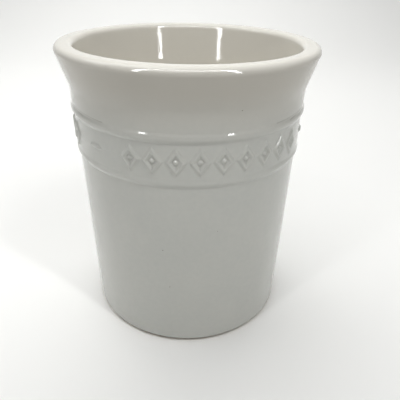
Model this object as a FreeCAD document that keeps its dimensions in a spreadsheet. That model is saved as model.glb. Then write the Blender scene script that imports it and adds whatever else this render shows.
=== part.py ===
"""Brush holder pot: one glazed stoneware vessel, as its clay body and its three glaze coats.

Millimetres, +Z up, origin at the centre of the foot ring's resting face, front towards -Y.
Azimuths are degrees about +Z from the front, positive towards +X.
"""
import FreeCAD, Part
import math
import os
import Sketcher
from FreeCAD import Placement, Rotation, Vector

# Driving dimensions. Radii and levels of the outside are measured over the glaze.
DIMENSIONS = {
    "pot_height": 150.0,
    "rim_radius": 64.1,
    "base_radius": 56.4,
    "shoulder_radius": 58.05,
    "band_radius": 58.65,
    "collar_radius": 59.15,
    "glaze": 0.45,
    # Foot: a bare clay ring round a shallow glazed recess.
    "foot_height": 2.6,
    "foot_outer_radius": 53.6,
    "foot_edge_radius": 54.75,
    "foot_edge_level": 0.75,
    "foot_inner_radius": 49.2,
    "recess_depth": 2.2,
    # Two raised ridges round the wall.
    "lower_ridge_start": 98.0,
    "lower_ridge_crest": 100.0,
    "lower_ridge_end": 102.0,
    "lower_ridge_radius": 59.1,
    "upper_ridge_start": 118.5,
    "upper_ridge_crest": 120.7,
    "upper_ridge_end": 122.9,
    "upper_ridge_radius": 59.75,
    # Collar, flare and rounded lip.
    "collar_level": 128.0,
    "flare_middle_level": 130.8,
    "flare_middle_radius": 59.34,
    "flare_level": 133.5,
    "flare_radius": 59.95,
    "lip_level": 147.2,
    "lip_shoulder_level": 149.2,
    "lip_outer_shoulder": 63.3,
    "lip_outer_edge": 61.4,
    "lip_crest_radius": 59.7,
    "lip_inner_edge": 58.0,
    "lip_inner_shoulder": 56.0,
    "mouth_radius": 55.1,
    # Inside of the wall and the floor.
    "inner_flare_level": 130.5,
    "inner_flare_radius": 51.7,
    "throat_middle_level": 124.75,
    "throat_middle_radius": 50.78,
    "throat_level": 119.0,
    "throat_radius": 50.4,
    "well_radius": 48.8,
    "well_level": 18.0,
    "well_corner_level": 11.64,
    "well_corner_radius": 46.16,
    "floor_level": 9.0,
    "floor_radius": 39.8,
    # Raised ornament on the band between the ridges.
    "motif_level": 110.2,
    "motif_reach": 5.4,
    "motif_spread": 4.1,
    "motif_inner_reach": 3.2,
    "motif_inner_spread": 2.4,
    "motif_relief": 0.8,
    "bead_radius": 0.9,
    "lens_reach": 1.2,
    "lens_spread": 4.2,
    # How far under the glazed surface the ornament and the coat's tool shape are rooted.
    "ornament_root": 3.0,
    "form_depth": 3.4,
}
FIRST_MOTIF_AZIMUTH = -25.0
MOTIF_PITCH = 10.0
MOTIFS_IN_GROUP = 9
LENS_AZIMUTH = -45.0
GROUPS = 3

doc = FreeCAD.newDocument("BrushHolderPot")


def make_sheet():
    """The spreadsheet that drives every sketch: column A names, column B plain numbers."""
    sheet = doc.addObject("Spreadsheet::Sheet", "Sizes")
    for row, (alias, value) in enumerate(DIMENSIONS.items(), start=1):
        sheet.set("A%d" % row, alias)
        sheet.set("B%d" % row, str(value))
        sheet.setAlias("B%d" % row, alias)
    doc.recompute()
    return sheet


def total(terms):
    """Value and expression of a sum of sheet cells, written such as "pot_height -glaze"."""
    value = 0.0
    expression = "0 mm"
    for term in terms.split():
        alias = term.lstrip("-")
        sign = -1.0 if term.startswith("-") else 1.0
        value += sign * DIMENSIONS[alias]
        expression += " %s Sizes.%s * 1 mm" % ("-" if sign < 0 else "+", alias)
    return value, expression


def origin_feature(body, role):
    """One of a body's own origin planes or axes."""
    return next(item for item in body.Origin.OriginFeatures if item.Role == role)


def new_sketch(body, name, azimuth=0.0, distance=0.0):
    """A sketch on the body's XZ plane, turned to an azimuth and moved out from the axis."""
    sketch = body.newObject("Sketcher::SketchObject", name)
    sketch.AttachmentSupport = [(origin_feature(body, "XZ_Plane"), "")]
    sketch.MapMode = "FlatFace"
    angle = math.radians(azimuth)
    outward = Vector(distance * math.sin(angle), 0, distance * math.cos(angle))
    sketch.AttachmentOffset = Placement(outward, Rotation(Vector(0, 1, 0), azimuth))
    doc.recompute()
    return sketch


def pin(sketch, geometry, point, across, up):
    """Hold a sketch point at sums of cells from the origin; an empty sum puts it on the axis."""
    for kind, axis, terms in (("DistanceX", -2, across), ("DistanceY", -1, up)):
        if not terms:
            sketch.addConstraint(Sketcher.Constraint("PointOnObject", geometry, point, axis))
            continue
        value, expression = total(terms)
        index = sketch.addConstraint(Sketcher.Constraint(kind, -1, 1, geometry, point, value))
        sketch.setExpression("Constraints[%d]" % index, expression)


def trace(sketch, stations):
    """Closed outline through stations (kind, radius, level).

    A "corner" starts a straight edge; a "through" between two corners bends theirs into an arc.
    """
    corners = []
    bends = {}
    for kind, across, up in stations:
        if kind == "corner":
            corners.append((across, up))
        else:
            bends[len(corners) - 1] = (across, up)

    def place(station):
        return Vector(total(station[0])[0], total(station[1])[0], 0)

    edges = []
    for index, corner in enumerate(corners):
        start = place(corner)
        end = place(corners[(index + 1) % len(corners)])
        if index in bends:
            curve = Part.Arc(start, place(bends[index]), end)
            edge = sketch.addGeometry(curve, False)
            # An arc runs anticlockwise, so its first point may be the outline's second.
            forward = sketch.getPoint(edge, 1).distanceToPoint(start) < 1e-6
            edges.append((edge, 1, 2) if forward else (edge, 2, 1))
        else:
            edge = sketch.addGeometry(Part.LineSegment(start, end), False)
            edges.append((edge, 1, 2))
    for index, (edge, first, last) in enumerate(edges):
        following = edges[(index + 1) % len(edges)]
        sketch.addConstraint(Sketcher.Constraint("Coincident", edge, last, following[0], following[1]))
        pin(sketch, edge, first, *corners[index])
        if index in bends:
            dot = sketch.addGeometry(Part.Point(place(bends[index])), True)
            pin(sketch, dot, 1, *bends[index])
            sketch.addConstraint(Sketcher.Constraint("PointOnObject", dot, 1, edge))


def revolve(body, stations, name):
    """A full turn of an outline about the pot's axis."""
    sketch = new_sketch(body, name + "Outline")
    trace(sketch, stations)
    doc.recompute()
    turn = body.newObject("PartDesign::Revolution", name + "Turn")
    turn.Profile = sketch
    turn.ReferenceAxis = (sketch, ["V_Axis"])
    turn.Angle = 360.0
    sketch.Visibility = False
    doc.recompute()
    return turn


def outside_of_wall(depth):
    """Outside of the pot from the foot's edge to the crest of the lip, at a depth under the glaze."""
    return [
        ("corner", "base_radius" + depth, "foot_height"),
        ("corner", "shoulder_radius" + depth, "lower_ridge_start"),
        ("through", "lower_ridge_radius" + depth, "lower_ridge_crest"),
        ("corner", "band_radius" + depth, "lower_ridge_end"),
        ("corner", "band_radius" + depth, "upper_ridge_start"),
        ("through", "upper_ridge_radius" + depth, "upper_ridge_crest"),
        ("corner", "collar_radius" + depth, "upper_ridge_end"),
        ("corner", "collar_radius" + depth, "collar_level"),
        ("through", "flare_middle_radius" + depth, "flare_middle_level"),
        ("corner", "flare_radius" + depth, "flare_level"),
        ("corner", "rim_radius" + depth, "lip_level"),
        ("through", "lip_outer_shoulder" + depth, "lip_shoulder_level" + depth),
        ("corner", "lip_outer_edge", "pot_height" + depth),
        ("corner", "lip_crest_radius", "pot_height" + depth),
    ]


def inside_of_wall(depth, deeper):
    """Inside of the pot from the crest of the lip to the floor's centre, at a depth under the glaze."""
    return [
        ("corner", "lip_crest_radius", "pot_height" + depth),
        ("corner", "lip_inner_edge", "pot_height" + depth),
        ("through", "lip_inner_shoulder" + deeper, "lip_shoulder_level" + depth),
        ("corner", "mouth_radius" + deeper, "lip_level"),
        ("corner", "inner_flare_radius" + deeper, "inner_flare_level"),
        ("through", "throat_middle_radius" + deeper, "throat_middle_level"),
        ("corner", "throat_radius" + deeper, "throat_level"),
        ("corner", "well_radius" + deeper, "well_level"),
        ("through", "well_corner_radius" + deeper, "well_corner_level" + depth),
        ("corner", "floor_radius", "floor_level" + depth),
        ("corner", "", "floor_level" + depth),
    ]


def lozenge(sketch, half_width, half_height):
    """Closed diamond about the ornament's centre line."""
    level = "motif_level"
    lower = level + "".join(" -" + term for term in half_height.split())
    top = Vector(0, total(level + " " + half_height)[0], 0)
    bottom = Vector(0, total(lower)[0], 0)
    right = Vector(total(half_width)[0], total(level)[0], 0)
    left = Vector(-right.x, right.y, 0)
    points = [top, right, bottom, left]
    sides = [
        sketch.addGeometry(Part.LineSegment(start, end), False)
        for start, end in zip(points, points[1:] + points[:1])
    ]
    for side, following in zip(sides, sides[1:] + sides[:1]):
        sketch.addConstraint(Sketcher.Constraint("Coincident", side, 2, following, 1))
    pin(sketch, sides[0], 1, "", level + " " + half_height)
    pin(sketch, sides[1], 1, half_width, level)
    pin(sketch, sides[2], 1, "", lower)
    sketch.addConstraint(Sketcher.Constraint("Symmetric", sides[3], 1, sides[1], 1, -2))


def draw_motif(sketch, grown):
    """A lozenge frame with a bead in its centre; a grown one is larger by the glaze all round."""
    lozenge(sketch, "motif_spread" + grown, "motif_reach" + grown)
    shrunk = grown.replace(" ", " -")
    lozenge(sketch, "motif_inner_spread" + shrunk, "motif_inner_reach" + shrunk)
    centre = Vector(0, DIMENSIONS["motif_level"], 0)
    radius, expression = total("bead_radius" + grown)
    bead = sketch.addGeometry(Part.Circle(centre, Vector(0, 0, 1), radius), False)
    pin(sketch, bead, 3, "", "motif_level")
    index = sketch.addConstraint(Sketcher.Constraint("Radius", bead, radius))
    sketch.setExpression("Constraints[%d]" % index, expression)


def draw_lens(sketch, grown):
    """A lying pointed oval that fills the gap between two groups of motifs."""
    level = total("motif_level")[0]
    right = Vector(total("lens_spread" + grown)[0], level, 0)
    left = Vector(-right.x, level, 0)
    reach, expression = total("lens_reach" + grown)
    upper = sketch.addGeometry(Part.Arc(right, Vector(0, level + reach, 0), left), False)
    lower = sketch.addGeometry(Part.Arc(left, Vector(0, level - reach, 0), right), False)
    sketch.addConstraint(Sketcher.Constraint("Coincident", upper, 2, lower, 1))
    sketch.addConstraint(Sketcher.Constraint("Coincident", lower, 2, upper, 1))
    pin(sketch, upper, 1, "lens_spread" + grown, "motif_level")
    sketch.addConstraint(Sketcher.Constraint("Symmetric", upper, 2, upper, 1, -2))
    for arc, terms in ((upper, "motif_level lens_reach" + grown),
                       (lower, "motif_level -lens_reach" + grown.replace(" ", " -"))):
        dot = sketch.addGeometry(Part.Point(Vector(0, total(terms)[0], 0)), True)
        pin(sketch, dot, 1, "", terms)
        sketch.addConstraint(Sketcher.Constraint("PointOnObject", dot, 1, arc))


def raise_relief(body, name, draw, azimuth, grown, turns):
    """Pad a drawing out through the band and repeat it round the axis."""
    root = total("band_radius -ornament_root")[0]
    sketch = new_sketch(body, name + "Outline", azimuth, root)
    draw(sketch, grown)
    doc.recompute()
    pad = body.newObject("PartDesign::Pad", name + "Pad")
    pad.Profile = sketch
    depth = "" if grown else " -glaze"
    pad.setExpression("Length", total("ornament_root motif_relief" + depth)[1])
    sketch.Visibility = False
    doc.recompute()
    before = pad.Shape.Volume
    transform = body.newObject("PartDesign::MultiTransform", name + "Ring")
    patterns = []
    for index, (angle, count) in enumerate(turns):
        pattern = body.newObject("PartDesign::PolarPattern", "%sTurn%d" % (name, index + 1))
        pattern.Axis = (origin_feature(body, "Z_Axis"), [""])
        pattern.Angle = angle
        pattern.Occurrences = count
        patterns.append(pattern)
    transform.Originals = [pad]
    transform.Transformations = patterns
    body.Tip = transform
    doc.recompute()
    if transform.Shape.Volume <= before:
        raise RuntimeError(name + " was not repeated round the band")


def add_ornament(body, grown):
    """Three groups of lozenge frames with a lying lens between each two groups."""
    span = MOTIF_PITCH * (MOTIFS_IN_GROUP - 1)
    full = (360.0, GROUPS)
    raise_relief(body, "Motif", draw_motif, FIRST_MOTIF_AZIMUTH, grown, [(span, MOTIFS_IN_GROUP), full])
    raise_relief(body, "Lens", draw_lens, LENS_AZIMUTH, grown, [full])


def make_stoneware_body():
    """The fired clay: foot ring, wall with two ridges, flared rounded lip and raised ornament."""
    body = doc.addObject("PartDesign::Body", "stoneware_body")
    underside = [
        ("corner", "", "recess_depth"),
        ("corner", "foot_inner_radius", "recess_depth"),
        ("corner", "foot_inner_radius", ""),
        ("corner", "foot_outer_radius", ""),
        ("through", "foot_edge_radius", "foot_edge_level"),
    ]
    outside = outside_of_wall(" -glaze")
    inside = inside_of_wall(" -glaze", " glaze")
    revolve(body, underside + outside + inside[1:], "Clay")
    add_ornament(body, "")
    return body


def make_exterior_glaze(clay):
    """The outside coat: a slightly larger shape with grown ornament, less the clay inside it."""
    form = doc.addObject("PartDesign::Body", "glazed_form")
    core = [
        ("corner", "lip_crest_radius", "lip_level"),
        ("corner", "collar_radius -form_depth", "collar_level"),
        ("corner", "shoulder_radius -form_depth", "lower_ridge_start"),
        ("corner", "base_radius -form_depth", "foot_height"),
    ]
    revolve(form, outside_of_wall("") + core, "Form")
    add_ornament(form, " glaze")
    coat = doc.addObject("Part::Cut", "exterior_glaze")
    coat.Base = form
    coat.Tool = clay
    return coat


def make_interior_glaze():
    """The liner coat, from the crest of the lip down the inner wall and over the floor."""
    body = doc.addObject("PartDesign::Body", "interior_glaze")
    clay_side = inside_of_wall(" -glaze", " glaze")
    revolve(body, inside_of_wall("", "") + clay_side[::-1], "Liner")
    return body


def make_underside_glaze():
    """The disc of glaze in the recess inside the foot ring."""
    disc = doc.addObject("Part::Cylinder", "underside_glaze")
    disc.setExpression("Radius", total("foot_inner_radius")[1])
    disc.setExpression("Height", total("glaze")[1])
    disc.setExpression("Placement.Base.z", total("recess_depth -glaze")[1])
    return disc


def export(pieces):
    """Check every object of the document, then write each piece to its own file."""
    doc.recompute()
    for item in doc.Objects:
        if "Invalid" in item.State or "Error" in item.State:
            raise RuntimeError("%s failed: %s" % (item.Name, item.State))
    for piece in pieces:
        if piece.Shape.isNull() or not piece.Shape.isValid():
            raise RuntimeError(piece.Label + " has no valid shape")
    os.makedirs("parts", exist_ok=True)
    for piece in pieces:
        piece.Shape.exportStep("parts/%s.step" % piece.Label)
        print("%s: %d solid, %.0f mm3" % (piece.Label, len(piece.Shape.Solids), piece.Shape.Volume))


make_sheet()
clay = make_stoneware_body()
export([clay, make_exterior_glaze(clay), make_interior_glaze(), make_underside_glaze()])
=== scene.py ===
"""Brush holder pot: the looks of one glazed stoneware pot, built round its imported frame.

Metres, +Z up, origin at the centre of the foot ring's resting face, front towards -Y.
Outlines and ornament are worked out in millimetres and turned into metres as the meshes are made.
Azimuths are degrees about +Z from the front, positive towards +X.
"""

import math

import bpy
import numpy as np
from mathutils import Matrix, Vector


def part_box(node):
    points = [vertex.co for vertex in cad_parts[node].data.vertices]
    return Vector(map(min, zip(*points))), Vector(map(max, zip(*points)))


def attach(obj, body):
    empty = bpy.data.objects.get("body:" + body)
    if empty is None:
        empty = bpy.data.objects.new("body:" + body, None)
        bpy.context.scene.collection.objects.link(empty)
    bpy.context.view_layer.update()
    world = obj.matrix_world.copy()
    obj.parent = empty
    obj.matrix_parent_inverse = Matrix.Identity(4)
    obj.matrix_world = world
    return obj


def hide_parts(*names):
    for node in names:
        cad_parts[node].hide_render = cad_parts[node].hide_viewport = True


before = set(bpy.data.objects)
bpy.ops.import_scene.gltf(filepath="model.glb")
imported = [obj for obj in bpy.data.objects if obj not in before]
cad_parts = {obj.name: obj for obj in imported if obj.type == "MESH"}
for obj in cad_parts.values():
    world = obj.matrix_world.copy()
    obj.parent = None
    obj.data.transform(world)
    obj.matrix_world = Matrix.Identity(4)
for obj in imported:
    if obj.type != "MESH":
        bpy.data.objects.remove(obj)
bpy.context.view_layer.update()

MM = 0.001

# ---------------------------------------------------------------- sizes, in millimetres

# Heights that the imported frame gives. The walls are measured over the glaze, the foot on bare clay.
POT_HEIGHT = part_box("exterior_glaze")[1].z / MM
GLAZE = POT_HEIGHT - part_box("stoneware_body")[1].z / MM
FOOT_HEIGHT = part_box("exterior_glaze")[0].z / MM

# Wall, ridges and collar. A pair is (radius, level).
BASE_RADIUS = 56.4
SHOULDER_RADIUS = 58.05
BAND_RADIUS = 58.65
COLLAR_RADIUS = 59.15
COLLAR_END = 128.0
LOWER_RIDGE_START = 98.0
LOWER_RIDGE_CREST = (59.1, 100.0)
LOWER_RIDGE_END = 102.0
UPPER_RIDGE_START = 118.5
UPPER_RIDGE_CREST = (59.75, 120.7)
UPPER_RIDGE_END = 122.9

# Flare and lip.
FLARE_MIDDLE = (59.34, 130.8)
FLARE_START = (59.95, 133.5)
RIM_RADIUS = 64.1
MOUTH_RADIUS = 55.1
LIP_LEVEL = 147.2
LIP_SHOULDER_LEVEL = 149.2
OUTER_SHOULDER_RADIUS = 63.3
INNER_SHOULDER_RADIUS = 56.0
OUTER_EDGE_RADIUS = 61.4
INNER_EDGE_RADIUS = 58.0
CREST_RADIUS = 59.7

# Inner wall and floor.
INNER_FLARE = (51.7, 130.5)
THROAT_MIDDLE = (50.78, 124.75)
THROAT = (50.4, 119.0)
WELL = (48.8, 18.0)
WELL_CORNER = (46.16, 11.64)
FLOOR_RADIUS = 39.8
FLOOR_LEVEL = 9.0

# Foot ring and recess.
RECESS_DEPTH = 2.2
FOOT_INNER_RADIUS = 49.2
FOOT_OUTER_RADIUS = 53.6
FOOT_EDGE = (54.75, 0.75)

OUTSIDE = [
    ("corner", BASE_RADIUS, FOOT_HEIGHT),
    ("corner", SHOULDER_RADIUS, LOWER_RIDGE_START),
    ("through", *LOWER_RIDGE_CREST),
    ("corner", BAND_RADIUS, LOWER_RIDGE_END),
    ("corner", BAND_RADIUS, UPPER_RIDGE_START),
    ("through", *UPPER_RIDGE_CREST),
    ("corner", COLLAR_RADIUS, UPPER_RIDGE_END),
    ("corner", COLLAR_RADIUS, COLLAR_END),
    ("through", *FLARE_MIDDLE),
    ("corner", *FLARE_START),
    ("corner", RIM_RADIUS, LIP_LEVEL),
    ("through", OUTER_SHOULDER_RADIUS, LIP_SHOULDER_LEVEL),
    ("corner", OUTER_EDGE_RADIUS, POT_HEIGHT),
    ("corner", CREST_RADIUS, POT_HEIGHT),
]
INSIDE = [
    ("corner", CREST_RADIUS, POT_HEIGHT),
    ("corner", INNER_EDGE_RADIUS, POT_HEIGHT),
    ("through", INNER_SHOULDER_RADIUS, LIP_SHOULDER_LEVEL),
    ("corner", MOUTH_RADIUS, LIP_LEVEL),
    ("corner", *INNER_FLARE),
    ("through", *THROAT_MIDDLE),
    ("corner", *THROAT),
    ("corner", *WELL),
    ("through", *WELL_CORNER),
    ("corner", FLOOR_RADIUS, FLOOR_LEVEL),
    ("corner", 0.0, FLOOR_LEVEL),
]
FOOT = [
    ("corner", 0.0, RECESS_DEPTH),
    ("corner", FOOT_INNER_RADIUS, RECESS_DEPTH),
    ("corner", FOOT_INNER_RADIUS, 0.0),
    ("corner", FOOT_OUTER_RADIUS, 0.0),
    ("through", *FOOT_EDGE),
]

# How far the glaze and the wiped foot round their corners.
OUTSIDE_SOFTNESS = 0.4
INSIDE_SOFTNESS = 0.45
FOOT_SOFTNESS = 0.25

# The glaze that draws up where the recess meets the foot ring.
MENISCUS_WIDTH = 2.0
MENISCUS_MIDDLE = 0.7
MENISCUS_SAG = 0.12
MENISCUS_RISE = 0.5

# Raised ornament on the band.
MOTIF_LEVEL = 110.2
MOTIF_SPREAD = 4.1
MOTIF_REACH = 5.4
MOTIF_STROKE = 1.7
MOTIF_RELIEF = 0.8
BEAD_RADIUS = 0.95
LENS_SPREAD = 4.2
LENS_REACH = 1.2
LENS_THINNEST = 0.01
LENS_TIP = 0.15
LENS_TIP_BLEND = 0.4
FIRST_MOTIF = -25.0
MOTIF_PITCH = 10.0
MOTIFS_IN_GROUP = 9
LENS_AZIMUTH = -45.0
GROUP_ANGLE = 120.0
SOFT_EDGE = 0.5
# Only points of the clay further out than this carry the ornament.
OUTER_WALL_RADIUS = 55.9

# Unevenness of the wall, as waves of (amount, waves round the pot, radians per millimetre up, phase).
WALL_WAVES = (
    (0.07, 2, 0.0, 0.7),
    (0.04, 3, -0.045, 0.0),
    (0.02, 7, 0.08, 1.9),
    (0.012, 13, -0.21, 0.4),
)
RING_AMOUNT = 0.012
RING_WAVES_PER_MM = 0.33
RING_SWAY = 2.0

# Mesh fineness: columns round the pot, and the spacing of the rings up its walls.
COLUMNS = 720
UNDERSIDE_COLUMNS = 360
OUTLINE_STEP = 0.1
SHARP_ANGLE = 40.0
PLAIN_WALL_END = 92.0
PLAIN_FLARE_START = 126.0
LIP_START = 145.0
ORNAMENT_RANGE = (102.0, 118.0)
FOOT_RANGE_START = 48.0
MENISCUS_RANGE = 3.0
DETAIL_SPACING = 0.36
FLARE_SPACING = 0.9
WALL_SPACING = 2.4
LINER_SPACING = 2.2
FOOT_SPACING = 0.3
MENISCUS_SPACING = 0.25
ORNAMENT_SPACING = 0.5
COVERED_SPACING = 2.0
FLAT_SPACING = 4.0

# ---------------------------------------------------------------- glaze and clay

# Base colours: cool and warm clouds, then the tone at the flare levels; on the outside it is a painted
# reflection and shade, warmer and darker than the clouds.
OUTSIDE_COOL = (0.52, 0.525, 0.49)
OUTSIDE_WARM = (0.545, 0.545, 0.505)
# Painted reflection and shade: the outside flare is painted warmer and darker where it faces down and
# mirrors warm surroundings.
OUTSIDE_FLARE_PAINTED_REFLECTION_AND_SHADE = (0.50, 0.475, 0.42)
# Painted light: the liner colours are lighter and warmer than the outside glaze, standing in for light
# bouncing round inside the pot.
LINER_COOL_PAINTED_LIGHTER = (0.60, 0.575, 0.51)
LINER_WARM_PAINTED_LIGHTER = (0.64, 0.61, 0.54)
LINER_FLARE_PAINTED_LIGHTER = (0.61, 0.585, 0.52)
# Painted light: the lip is painted paler, standing in for the top light that falls on it.
LIP_PAINTED_LIGHT = (0.68, 0.66, 0.60)
# Dark colour for the iron specks and marks, also used for the painted shade lines beside the upper ridge.
IRON_AND_PAINTED_SHADE = (0.20, 0.18, 0.14)
FLARE_TONE_START = 118.0
FLARE_TONE_END = 140.0
LIP_PAINTED_LIGHT_START = 146.3
LIP_PAINTED_LIGHT_END = 149.3

# Noise scales are in cycles per metre. Noise mostly stays within the two ranges.
COLOUR_NOISE = (0.35, 0.65)
GLOSS_NOISE = (0.3, 0.7)
CLOUD_SCALE = 38.0
BLOOM_SCALE = 420.0
BLOOM_SHARE = 0.35
BLOOM_DARKER = 0.985
BLOOM_LIGHTER = 1.01
GLOSS_SCALE = 90.0
GLAZE_ROUGHNESS = (0.05, 0.10)
GLAZE_IOR = 1.58
GLAZE_BUMP_SCALE = 260.0
GLAZE_BUMP_STRENGTH = 0.25
SPECK_CELL = 9.0
SPECK_RADIUS = 0.28
SPECK_SHARE = 0.035

CLAY_GRAIN = ((0.46, 0.40, 0.32), (0.66, 0.60, 0.50))
CLAY_STAIN = ((0.50, 0.44, 0.36), (0.62, 0.56, 0.47))
CLAY_SPECK = (0.16, 0.12, 0.09)
CLAY_GRAIN_SCALE = 900.0
CLAY_STAIN_SCALE = 70.0
CLAY_STAIN_SHARE = 0.5
CLAY_SPECK_CELL = 2.2
CLAY_SPECK_RADIUS = 0.3
CLAY_SPECK_SHARE = 0.2
CLAY_GLOSS_SCALE = 500.0
CLAY_ROUGHNESS = (0.75, 0.95)
CLAY_BUMP_SCALE = 1400.0
CLAY_BUMP_STRENGTH = 0.5
BUMP_HEIGHT = 0.0002

# Small iron marks on the wall: azimuth, level, radius there, size.
WALL_MARKS = (
    (-9.0, 40.0, 57.2, 0.38),
    (-12.0, 63.0, 57.5, 0.25),
    (4.0, 30.0, 57.0, 0.22),
    (14.0, 74.0, 57.7, 0.2),
    (21.0, 132.0, 59.6, 0.3),
)
MARK_EDGE_SCALE = 2600.0
MARK_SMALLEST = 0.6
MARK_LARGEST = 1.2
# Painted shade: dark lines beside the upper ridge, where its edges curve away at both sides of the view.
# First and last azimuth, then the level at each.
PAINTED_SHADE_LINES = (
    (-66.0, -38.0, 124.2, 123.2),
    (-66.0, -52.0, 124.2, 122.3),
    (40.0, 66.0, 123.2, 124.2),
    (50.0, 66.0, 122.3, 124.2),
)
PAINTED_SHADE_LINE_WIDTH = 0.4
PAINTED_SHADE_LINE_DEPTH = 0.45
PAINTED_SHADE_LINE_END_GAP = 0.001

# ---------------------------------------------------------------- camera and sheet

LENS = 36.72
SENSOR = 36.0
NEAREST = 0.01
PITCH = math.radians(30.29)
YAW = math.radians(-1.952)
ROLL = math.radians(1.241)
# Camera distance in front of the pot's axis and above its foot, in pot heights.
CAMERA_BACK = 1.4202
CAMERA_UP = 1.2182

SHEET_HALF_WIDTH = 1.6
SHEET_FRONT = -1.6
SHEET_BACK = 1.2
SHEET_HEIGHT = 1.6
SHEET_BEND = 0.6
SHEET_BEND_STEPS = 16
SHEET_COLOUR = (0.86, 0.86, 0.84, 1.0)
SHEET_ROUGHNESS = 0.9
SHEET_SPECULAR = 0.1

SKY_COLOUR = (0.97, 0.98, 1.0, 1.0)
SKY_STRENGTH = 0.19


# ---------------------------------------------------------------- outline


def circle_through(a, b, c):
    """Centre of the circle through three points."""
    d = 2 * (a[0] * (b[1] - c[1]) + b[0] * (c[1] - a[1]) + c[0] * (a[1] - b[1]))
    aa, bb, cc = a @ a, b @ b, c @ c
    x = (aa * (b[1] - c[1]) + bb * (c[1] - a[1]) + cc * (a[1] - b[1])) / d
    y = (aa * (c[0] - b[0]) + bb * (a[0] - c[0]) + cc * (b[0] - a[0])) / d
    return np.array([x, y])


def arc(a, b, c, step):
    """Points along the arc from a through b to c, without c."""
    centre = circle_through(a, b, c)
    radius = np.linalg.norm(a - centre)
    start, middle, end = (math.atan2(*(p - centre)[::-1]) for p in (a, b, c))
    turn = math.tau
    forward = (end - start) % turn
    sweep = forward if (middle - start) % turn < forward else forward - turn
    count = max(2, int(abs(sweep) * radius / step))
    angles = start + sweep * np.arange(count) / count
    return centre + radius * np.column_stack([np.cos(angles), np.sin(angles)])


def trace(stations, step=OUTLINE_STEP):
    """Points every step along an outline of corners, with arcs where a through point stands."""
    points = []
    pending = None
    last = None
    for kind, radius, level in stations:
        here = np.array([radius, level])
        if kind == "through":
            pending = here
            continue
        if pending is not None:
            points.extend(arc(last, pending, here, step))
        elif last is not None:
            count = max(1, int(np.linalg.norm(here - last) / step))
            points.extend(last + (here - last) * k / count for k in range(count))
        last = here
        pending = None
    points.append(last)
    return np.array(points)


def soften(path, reach, step=OUTLINE_STEP):
    """The outline as glaze leaves it: corners rounded over about the reach, the ends kept."""
    half = int(3 * reach / step)
    weights = np.exp(-0.5 * (np.arange(-half, half + 1) * step / reach) ** 2)
    weights /= weights.sum()
    before = 2 * path[0] - path[half:0:-1]
    after = 2 * path[-1] - path[-2:-half - 2:-1]
    padded = np.vstack([before, path, after])
    return np.column_stack([np.convolve(padded[:, k], weights, "valid") for k in (0, 1)])


def along(path):
    """Distance of each point from the start of a path."""
    return np.concatenate([[0.0], np.cumsum(np.linalg.norm(np.diff(path, axis=0), axis=1))])


def offset(path, distance):
    """The path moved sideways, to the left of its own direction."""
    ahead = np.gradient(path, axis=0)
    ahead /= np.linalg.norm(ahead, axis=1)[:, None]
    return path + distance * np.column_stack([-ahead[:, 1], ahead[:, 0]])


def thin(path, spacing):
    """Fewer points of a path, as far apart as spacing(radius, level) says."""
    density = 1.0 / spacing(path[:, 0], path[:, 1])
    length = along(path)
    steps = np.diff(length) * 0.5 * (density[1:] + density[:-1])
    rank = np.concatenate([[0.0], np.cumsum(steps)])
    count = max(2, int(round(rank[-1])))
    wanted = np.interp(np.linspace(0, rank[-1], count + 1), rank, length)
    return np.column_stack([np.interp(wanted, length, path[:, k]) for k in (0, 1)])


# ---------------------------------------------------------------- surface detail


def smoothstep(x):
    x = np.clip(x, 0.0, 1.0)
    return x * x * (3 - 2 * x)


def raised(distance, half_width):
    """1 on a raised stroke and 0 off it, with a soft edge, by distance from its middle line."""
    return smoothstep((half_width + SOFT_EDGE - np.abs(distance)) / (2 * SOFT_EDGE))


def relief(azimuth, level, radius):
    """Height of the raised ornament: lozenge frames with a bead, and a lens between groups."""
    up = level - MOTIF_LEVEL
    turn = (azimuth - FIRST_MOTIF + MOTIF_PITCH / 2) % GROUP_ANGLE
    index = np.floor(turn / MOTIF_PITCH)
    across = np.radians(turn - (index + 0.5) * MOTIF_PITCH) * radius
    spread = MOTIF_SPREAD - MOTIF_STROKE / 2
    reach = MOTIF_REACH - MOTIF_STROKE / 2
    slope = math.hypot(1 / spread, 1 / reach)
    frame_line = (np.abs(across) / spread + np.abs(up) / reach - 1) / slope
    bead = np.hypot(across, up)
    motif = np.maximum(raised(frame_line, MOTIF_STROKE / 2), raised(bead, BEAD_RADIUS))
    motif = np.where(index < MOTIFS_IN_GROUP, motif, 0.0)
    lens_turn = (azimuth - LENS_AZIMUTH + GROUP_ANGLE / 2) % GROUP_ANGLE - GROUP_ANGLE / 2
    lens_across = np.radians(lens_turn) * radius
    width = np.maximum(1 - (lens_across / LENS_SPREAD) ** 2, 0.0) * LENS_REACH
    lens = raised(up, np.maximum(width, LENS_THINNEST)) * smoothstep((width + LENS_TIP) / LENS_TIP_BLEND)
    near_band = np.abs(up) < MOTIF_REACH + 3 * SOFT_EDGE
    return MOTIF_RELIEF * np.where(near_band, np.maximum(motif, lens), 0.0)


def wobble(azimuth, level):
    """The small unevenness that casting, firing and a flowing glaze leave in a wall."""
    around = np.radians(azimuth)
    waves = sum(
        amount * np.sin(count * around + rise * level + phase)
        for amount, count, rise, phase in WALL_WAVES
    )
    rings = RING_AMOUNT * np.sin(RING_WAVES_PER_MM * level + RING_SWAY * np.sin(2 * around))
    return waves + rings


def plain_wall(azimuth, level, radius):
    return wobble(azimuth, level)


def ornamented_wall(azimuth, level, radius):
    return relief(azimuth, level, radius) + wobble(azimuth, level)


def clay_wall(azimuth, level, radius):
    """Ornament on the outside only: the same levels of the inner wall stay plain."""
    ornament = np.where(radius > OUTER_WALL_RADIUS, relief(azimuth, level, radius), 0.0)
    return ornament + wobble(azimuth, level)


# ---------------------------------------------------------------- meshes


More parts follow.
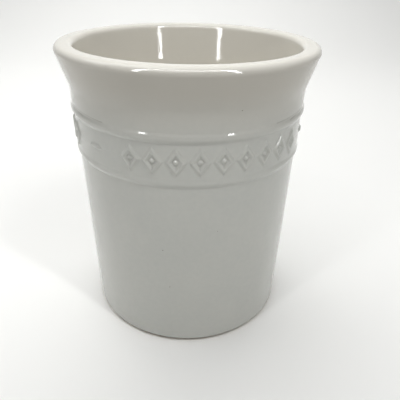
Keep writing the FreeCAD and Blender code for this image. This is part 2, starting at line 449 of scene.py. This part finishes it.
def lathe(name, path, columns, detail, closed):
    """A solid turned from an outline of (radius, level), closed on itself or ended on the axis.

    detail(azimuth, level, radius) gives how far each point moves outwards.
    """
    azimuth = np.arange(columns) * 360.0 / columns
    rings = path if closed else path[1:-1]
    rows = len(rings)
    radius = np.repeat(rings[:, 0:1], columns, axis=1)
    level = np.repeat(rings[:, 1:2], columns, axis=1)
    turn = np.repeat(azimuth[None, :], rows, axis=0)
    radius = radius + detail(turn, level, radius)
    angle = np.radians(turn)
    points = np.stack([radius * np.sin(angle), -radius * np.cos(angle), level], axis=-1)
    points = points.reshape(-1, 3)
    index = np.arange(rows * columns).reshape(rows, columns)
    upper = np.roll(index, -1, axis=0) if closed else index[1:]
    lower = index if closed else index[:-1]
    quads = np.stack([lower, np.roll(lower, -1, 1), np.roll(upper, -1, 1), upper], axis=-1)
    faces = quads.reshape(-1, 4).tolist()
    if not closed:
        first = len(points)
        poles = np.array([[0, 0, path[0, 1]], [0, 0, path[-1, 1]]])
        points = np.vstack([points, poles])
        ends = ((index[0], first, True), (index[-1], first + 1, False))
        for ring, pole, first_end in ends:
            following = np.roll(ring, -1)
            for a, b in zip(ring.tolist(), following.tolist()):
                faces.append((pole, b, a) if first_end else (pole, a, b))
    mesh = bpy.data.meshes.new(name)
    mesh.from_pydata((points * MM).tolist(), [], faces)
    mesh.update()
    mesh.shade_smooth()
    mesh.set_sharp_from_angle(angle=math.radians(SHARP_ANGLE))
    piece = bpy.data.objects.new(name, mesh)
    bpy.context.scene.collection.objects.link(piece)
    return piece


def turned_piece(name, outline, columns, detail, closed, node):
    """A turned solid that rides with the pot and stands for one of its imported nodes."""
    piece = lathe(name, outline, columns, detail, closed)
    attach(piece, "root")
    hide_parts(node)
    return piece


OUTER = soften(trace(OUTSIDE), OUTSIDE_SOFTNESS)
INNER = soften(trace(INSIDE), INSIDE_SOFTNESS)
OUTER_CLAY = offset(OUTER, GLAZE)
INNER_CLAY = offset(INNER, GLAZE)


def outside_spacing(radius, level):
    """Close rings on ridges, band and lip, wider ones on the flare and the plain lower wall."""
    on_flare = (level > PLAIN_FLARE_START) & (level < LIP_START)
    upper = np.where(on_flare, FLARE_SPACING, DETAIL_SPACING)
    return np.where(level < PLAIN_WALL_END, WALL_SPACING, upper)


def inside_spacing(radius, level):
    return np.where(level > LIP_START, DETAIL_SPACING, LINER_SPACING)


def foot_spacing(radius, level):
    return np.where(radius > FOOT_RANGE_START, FOOT_SPACING, FLAT_SPACING)


def underside_spacing(radius, level):
    near_ring = radius > FOOT_INNER_RADIUS - MENISCUS_RANGE
    return np.where(near_ring, MENISCUS_SPACING, FLAT_SPACING)


def outer_clay_spacing(radius, level):
    """Closer rings behind the ornament. The glaze covers this face."""
    lowest, highest = ORNAMENT_RANGE
    behind_ornament = (level > lowest) & (level < highest)
    return np.where(behind_ornament, ORNAMENT_SPACING, COVERED_SPACING)


def inner_clay_spacing(radius, level):
    return np.full_like(level, FLAT_SPACING)


def make_exterior_glaze():
    """The outside coat, from the foot's edge over both ridges and the band to the lip's crest."""
    surface = thin(OUTER, outside_spacing)
    clay_side = thin(OUTER_CLAY, outer_clay_spacing)[::-1]
    outline = np.vstack([surface, clay_side])
    return turned_piece(
        "exterior_coat", outline, COLUMNS, ornamented_wall, True, "exterior_glaze"
    )


def make_interior_glaze():
    """The liner coat, from the lip's crest down the inner wall and over the floor."""
    surface = thin(INNER, inside_spacing)
    clay_side = thin(INNER_CLAY, inner_clay_spacing)[::-1]
    outline = np.vstack([clay_side, surface])
    return turned_piece(
        "liner_coat", outline, COLUMNS, plain_wall, False, "interior_glaze"
    )


def make_clay():
    """The fired clay: bare foot ring, wall, ridges and ornament under the glaze."""
    edge = [("corner", OUTER_CLAY[0][0], OUTER_CLAY[0][1])]
    foot = thin(soften(trace(FOOT + edge), FOOT_SOFTNESS), foot_spacing)
    outside = thin(OUTER_CLAY, outer_clay_spacing)
    inside = thin(INNER_CLAY, inner_clay_spacing)
    outline = np.vstack([foot, outside[1:], inside[1:]])
    return turned_piece(
        "clay_body", outline, COLUMNS, clay_wall, False, "stoneware_body"
    )


def make_underside_glaze():
    """The disc of glaze in the foot-ring recess, drawn up a little where it meets the ring."""
    radius = FOOT_INNER_RADIUS
    face = RECESS_DEPTH - GLAZE
    surface = [
        ("corner", 0.0, face),
        ("corner", radius - MENISCUS_WIDTH, face),
        ("through", radius - MENISCUS_MIDDLE, face - MENISCUS_SAG),
        ("corner", radius, face - MENISCUS_RISE),
        ("corner", radius, RECESS_DEPTH),
        ("corner", 0.0, RECESS_DEPTH),
    ]
    outline = thin(trace(surface), underside_spacing)
    return turned_piece(
        "underside_coat", outline, UNDERSIDE_COLUMNS, plain_wall, False,
        "underside_glaze",
    )


# ---------------------------------------------------------------- materials


def new_material(name):
    """A node material, its tree and its Principled shader."""
    material = bpy.data.materials.new(name)
    material.use_nodes = True
    tree = material.node_tree
    shader = tree.nodes["Principled BSDF"]
    return material, tree, shader


def add(tree, kind, **settings):
    """A node with its properties and input defaults set by name."""
    node = tree.nodes.new(kind)
    for key, value in settings.items():
        if hasattr(node, key):
            setattr(node, key, value)
        else:
            node.inputs[key].default_value = value
    return node


def object_place(tree):
    """The point's own place on the pot, in metres."""
    return add(tree, "ShaderNodeTexCoord").outputs["Object"]


def object_axes(tree):
    """That place split into X, Y and Z."""
    parts = add(tree, "ShaderNodeSeparateXYZ")
    tree.links.new(object_place(tree), parts.inputs["Vector"])
    return parts.outputs


def noise(tree, scale, detail=2.0, roughness=0.5):
    texture = add(tree, "ShaderNodeTexNoise", Scale=scale, Detail=detail, Roughness=roughness)
    tree.links.new(object_place(tree), texture.inputs["Vector"])
    return texture.outputs["Fac"]


def ramp(tree, value, low, high):
    """Two colours blended over the range of a noise."""
    node = add(tree, "ShaderNodeValToRGB")
    for element, position, colour in zip(node.color_ramp.elements, COLOUR_NOISE, (low, high)):
        element.position = position
        element.color = (*colour, 1.0)
    tree.links.new(value, node.inputs["Fac"])
    return node.outputs["Color"]


# Sockets of the Mix node when it mixes colours.
MIX_FACTOR, MIX_FIRST, MIX_SECOND = 0, 6, 7
MIX_RESULT = 2


def mix(tree, factor, first, second):
    """Two colours mixed. Each value is a socket or a constant."""
    node = tree.nodes.new("ShaderNodeMix")
    node.data_type = "RGBA"
    for socket, value in ((MIX_FACTOR, factor), (MIX_FIRST, first), (MIX_SECOND, second)):
        if isinstance(value, bpy.types.NodeSocket):
            tree.links.new(value, node.inputs[socket])
        elif socket == MIX_FACTOR:
            node.inputs[socket].default_value = value
        else:
            node.inputs[socket].default_value = (*value, 1.0)
    return node.outputs[MIX_RESULT]


def math_node(tree, operation, first, second=0.0):
    node = tree.nodes.new("ShaderNodeMath")
    node.operation = operation
    for socket, value in ((0, first), (1, second)):
        if isinstance(value, bpy.types.NodeSocket):
            tree.links.new(value, node.inputs[socket])
        else:
            node.inputs[socket].default_value = value
    return node.outputs[0]


def map_range(tree, value, from_min, from_max, to_min, to_max):
    node = tree.nodes.new("ShaderNodeMapRange")
    tree.links.new(value, node.inputs["Value"])
    node.inputs["From Min"].default_value = from_min
    node.inputs["From Max"].default_value = from_max
    node.inputs["To Min"].default_value = to_min
    node.inputs["To Max"].default_value = to_max
    return node.outputs["Result"]


def specks(tree, cell, radius, share):
    """1 inside a few small round spots: one spot in some of the cells of a random lattice."""
    cells = add(tree, "ShaderNodeTexVoronoi", Scale=1.0 / cell)
    tree.links.new(object_place(tree), cells.inputs["Vector"])
    parts = add(tree, "ShaderNodeSeparateColor")
    tree.links.new(cells.outputs["Color"], parts.inputs["Color"])
    chosen = math_node(tree, "LESS_THAN", parts.outputs["Red"], share)
    edge = radius / cell
    spot = map_range(tree, cells.outputs["Distance"], edge, 0.5 * edge, 0.0, 1.0)
    return math_node(tree, "MULTIPLY", chosen, spot)


def mark(tree, azimuth, level, radius, size):
    """1 within a small spot on the wall at an azimuth and level, in degrees and millimetres."""
    angle = math.radians(azimuth)
    centre = (radius * math.sin(angle) * MM, -radius * math.cos(angle) * MM, level * MM)
    gap = add(tree, "ShaderNodeVectorMath", operation="DISTANCE")
    tree.links.new(object_place(tree), gap.inputs[0])
    gap.inputs[1].default_value = centre
    ragged = noise(tree, MARK_EDGE_SCALE, 1.0)
    smallest = MARK_SMALLEST * size * MM
    largest = MARK_LARGEST * size * MM
    reach = map_range(tree, ragged, *COLOUR_NOISE, smallest, largest)
    return math_node(tree, "LESS_THAN", gap.outputs["Value"], reach)


def painted_shade_line(tree, start, end, first_level, last_level):
    """Depth of a thin painted shade line on the wall, between two azimuths in degrees and two levels in
    millimetres.
    """
    axes = object_axes(tree)
    front = math_node(tree, "MULTIPLY", axes["Y"], -1.0)
    azimuth = math_node(tree, "ARCTAN2", axes["X"], front)
    share = map_range(tree, azimuth, math.radians(start), math.radians(end), 0.0, 1.0)
    level = map_range(tree, share, 0.0, 1.0, first_level * MM, last_level * MM)
    gap = math_node(tree, "ABSOLUTE", math_node(tree, "SUBTRACT", axes["Z"], level))
    half = 0.5 * PAINTED_SHADE_LINE_WIDTH * MM
    near = map_range(tree, gap, half, 0.5 * half, 0.0, PAINTED_SHADE_LINE_DEPTH)
    started = math_node(tree, "GREATER_THAN", share, PAINTED_SHADE_LINE_END_GAP)
    unfinished = math_node(tree, "LESS_THAN", share, 1.0 - PAINTED_SHADE_LINE_END_GAP)
    return math_node(tree, "MULTIPLY", near, math_node(tree, "MULTIPLY", started, unfinished))


def finish_surface(tree, shader, gloss_scale, roughness, bump_height, bump_strength):
    """Uneven gloss and a fine bump on a shader."""
    gloss = map_range(tree, noise(tree, gloss_scale, 3.0), *GLOSS_NOISE, *roughness)
    tree.links.new(gloss, shader.inputs["Roughness"])
    bump = add(tree, "ShaderNodeBump", Strength=bump_strength, Distance=BUMP_HEIGHT)
    tree.links.new(bump_height, bump.inputs["Height"])
    tree.links.new(bump.outputs["Normal"], shader.inputs["Normal"])


def glaze_material(name, cool, warm, flare_tone):
    """Glossy grey-white glaze: cloudy mottling, a fine bloom, iron specks, small marks and painted shade
    lines where the upper ridge's edges curve away at the sides.

    At the flare levels it takes another tone, on the outside a warmer, darker painted reflection and
    shade. The lip is painted paler, as painted light where the top light falls on it.
    """
    material, tree, shader = new_material(name)
    clouds = ramp(tree, noise(tree, CLOUD_SCALE, 3.0), cool, warm)
    darker = [BLOOM_DARKER * c for c in cool]
    lighter = [BLOOM_LIGHTER * c for c in warm]
    bloom = ramp(tree, noise(tree, BLOOM_SCALE, 2.0), darker, lighter)
    colour = mix(tree, BLOOM_SHARE, clouds, bloom)
    level = object_axes(tree)["Z"]
    # Painted reflection and shade: towards the flare the colour blends into the flare tone, which on the
    # outside is warmer and darker than the clouds.
    on_flare = map_range(tree, level, FLARE_TONE_START * MM, FLARE_TONE_END * MM, 0.0, 1.0)
    colour = mix(tree, on_flare, colour, flare_tone)
    # Painted light: the colour turns paler over the lip, where light from above falls.
    lip_painted_light_mask = map_range(tree, level, LIP_PAINTED_LIGHT_START * MM, LIP_PAINTED_LIGHT_END * MM, 0.0, 1.0)
    colour = mix(tree, lip_painted_light_mask, colour, LIP_PAINTED_LIGHT)
    spots = specks(tree, SPECK_CELL * MM, SPECK_RADIUS * MM, SPECK_SHARE)
    colour = mix(tree, spots, colour, IRON_AND_PAINTED_SHADE)
    for azimuth, mark_level, radius, size in WALL_MARKS:
        colour = mix(tree, mark(tree, azimuth, mark_level, radius, size), colour, IRON_AND_PAINTED_SHADE)
    # Painted shade: dark lines where the upper ridge's edges curve away at the sides.
    for start, end, first_level, last_level in PAINTED_SHADE_LINES:
        colour = mix(tree, painted_shade_line(tree, start, end, first_level, last_level), colour, IRON_AND_PAINTED_SHADE)
    tree.links.new(colour, shader.inputs["Base Color"])
    shader.inputs["IOR"].default_value = GLAZE_IOR
    ripples = noise(tree, GLAZE_BUMP_SCALE, 2.0)
    finish_surface(tree, shader, GLOSS_SCALE, GLAZE_ROUGHNESS, ripples, GLAZE_BUMP_STRENGTH)
    return material


def clay_material():
    """Bare fired stoneware: matt, warm grey-buff, sandy grain."""
    material, tree, shader = new_material("bare_stoneware")
    grain = ramp(tree, noise(tree, CLAY_GRAIN_SCALE, 4.0, 0.7), *CLAY_GRAIN)
    stain = ramp(tree, noise(tree, CLAY_STAIN_SCALE, 3.0), *CLAY_STAIN)
    colour = mix(tree, CLAY_STAIN_SHARE, grain, stain)
    spots = specks(tree, CLAY_SPECK_CELL * MM, CLAY_SPECK_RADIUS * MM, CLAY_SPECK_SHARE)
    colour = mix(tree, spots, colour, CLAY_SPECK)
    tree.links.new(colour, shader.inputs["Base Color"])
    sand = noise(tree, CLAY_BUMP_SCALE, 4.0, 0.7)
    finish_surface(tree, shader, CLAY_GLOSS_SCALE, CLAY_ROUGHNESS, sand, CLAY_BUMP_STRENGTH)
    return material


# ---------------------------------------------------------------- camera, stage and lights


def make_camera():
    """The viewpoint: above the front of the pot, turned and rolled a little."""
    height = POT_HEIGHT * MM
    right = Vector((math.cos(YAW), math.sin(YAW), 0))
    ahead = Vector((-math.sin(YAW), math.cos(YAW), 0))
    up = Vector((0, 0, 1))
    view = math.cos(PITCH) * ahead - math.sin(PITCH) * up
    above = math.sin(PITCH) * ahead + math.cos(PITCH) * up
    side = math.cos(ROLL) * right + math.sin(ROLL) * above
    top = math.cos(ROLL) * above - math.sin(ROLL) * right
    turn = Matrix((side, top, -view)).transposed().to_4x4()
    data = bpy.data.cameras.new("camera")
    data.sensor_width = SENSOR
    data.lens = LENS
    data.clip_start = NEAREST
    camera = bpy.data.objects.new("camera", data)
    place = (0, -CAMERA_BACK * height, CAMERA_UP * height)
    camera.matrix_world = Matrix.Translation(place) @ turn
    bpy.context.scene.collection.objects.link(camera)
    bpy.context.scene.camera = camera


def make_stage():
    """A pale seamless sheet: flat under the pot, curving up far behind it."""
    profile = [(SHEET_FRONT, 0.0)]
    for k in range(SHEET_BEND_STEPS + 1):
        angle = math.pi / 2 * k / SHEET_BEND_STEPS
        rise = SHEET_BEND - SHEET_BEND * math.cos(angle)
        profile.append((SHEET_BACK - SHEET_BEND + SHEET_BEND * math.sin(angle), rise))
    profile.append((SHEET_BACK, SHEET_HEIGHT))
    points = [(x, y, z) for x in (-SHEET_HALF_WIDTH, SHEET_HALF_WIDTH) for y, z in profile]
    count = len(profile)
    faces = [(k, k + count, k + 1 + count, k + 1) for k in range(count - 1)]
    mesh = bpy.data.meshes.new("sheet")
    mesh.from_pydata(points, [], faces)
    mesh.shade_smooth()
    sheet = bpy.data.objects.new("sheet", mesh)
    bpy.context.scene.collection.objects.link(sheet)
    material, tree, shader = new_material("pale_sheet")
    shader.inputs["Base Color"].default_value = SHEET_COLOUR
    shader.inputs["Roughness"].default_value = SHEET_ROUGHNESS
    shader.inputs["Specular IOR Level"].default_value = SHEET_SPECULAR
    mesh.materials.append(material)


def area_light(name, place, target, size, power, upright=(0, 0, 1)):
    """A rectangular white light at a place, facing a target. Size is (across, along upright)."""
    data = bpy.data.lights.new(name, "AREA")
    data.shape = "RECTANGLE"
    data.size, data.size_y = size
    data.energy = power
    light = bpy.data.objects.new(name, data)
    facing = (Vector(target) - Vector(place)).normalized()
    across = facing.cross(Vector(upright)).normalized()
    above = across.cross(facing)
    turn = Matrix((across, above, -facing)).transposed().to_4x4()
    light.matrix_world = Matrix.Translation(place) @ turn
    bpy.context.scene.collection.objects.link(light)
    return light


def make_sky():
    world = bpy.data.worlds.new("surroundings")
    world.use_nodes = True
    sky = world.node_tree.nodes["Background"]
    sky.inputs["Color"].default_value = SKY_COLOUR
    sky.inputs["Strength"].default_value = SKY_STRENGTH
    bpy.context.scene.world = world


def make_lights():
    """A white light tent with thin bright lamps round the opening that the viewer looks through."""
    middle = (0.0, 0.0, 0.10)
    panels = (
        area_light(
            "back_panel", place=(-0.3, 0.75, 0.75), target=middle, size=(0.9, 0.6), power=1.4
        ),
        area_light(
            "rear_ceiling", place=(0.0, 0.55, 0.95), target=(0.0, 0.4, 0.0),
            size=(1.2, 0.5), power=6.6, upright=(0, 1, 0),
        ),
        area_light(
            "right_fill", place=(0.44, -0.32, 0.32), target=middle, size=(0.3, 0.3), power=0.2
        ),
    )
    for panel in panels:
        panel.visible_glossy = False
    area_light(
        "left_ceiling", place=(-0.45, 0.1, 0.9), target=middle, size=(0.5, 0.9), power=2.2
    )
    area_light(
        "front_bar", place=(0.0, -0.20, 0.47), target=(0, 0, 0.05), size=(0.36, 0.02), power=0.54
    )
    area_light(
        "left_strip", place=(-0.29, -0.33, 0.55), target=(0, 0, 0.55), size=(0.03, 0.40), power=0.55
    )
    area_light(
        "right_strip", place=(0.29, -0.33, 0.70), target=(0, 0, 0.70), size=(0.03, 0.34), power=1.6
    )


def make_mirrored_lamps():
    """Lamps that are only seen mirrored in the glaze."""
    lamps = (
        area_light(
            "left_lamp", place=(-0.245, -0.30, 0.32), target=(0, 0, 0.32),
            size=(0.036, 0.26), power=0.48,
        ),
        area_light(
            "right_lamp", place=(0.222, -0.30, 0.32), target=(0, 0, 0.32),
            size=(0.026, 0.26), power=0.35,
        ),
        area_light(
            "top_lamp", place=(0.0, -0.30, 0.45), target=(0, 0, 0.13),
            size=(0.47, 0.024), power=0.55,
        ),
    )
    for lamp in lamps:
        lamp.visible_diffuse = False


def set_tones():
    view = bpy.context.scene.view_settings
    view.view_transform = "Standard"
    view.look = "None"
    view.exposure = 0.0


def dress(piece, material):
    piece.data.materials.clear()
    piece.data.materials.append(material)


outside_glaze = glaze_material("outside_glaze", OUTSIDE_COOL, OUTSIDE_WARM, OUTSIDE_FLARE_PAINTED_REFLECTION_AND_SHADE)
# Painted light: the liner is a lighter, warmer copy of the outside glaze.
liner_glaze = glaze_material("liner_glaze", LINER_COOL_PAINTED_LIGHTER, LINER_WARM_PAINTED_LIGHTER, LINER_FLARE_PAINTED_LIGHTER)
dress(make_exterior_glaze(), outside_glaze)
dress(make_interior_glaze(), liner_glaze)
dress(make_underside_glaze(), outside_glaze)
dress(make_clay(), clay_material())
make_camera()
make_stage()
make_sky()
make_lights()
make_mirrored_lamps()
set_tones()
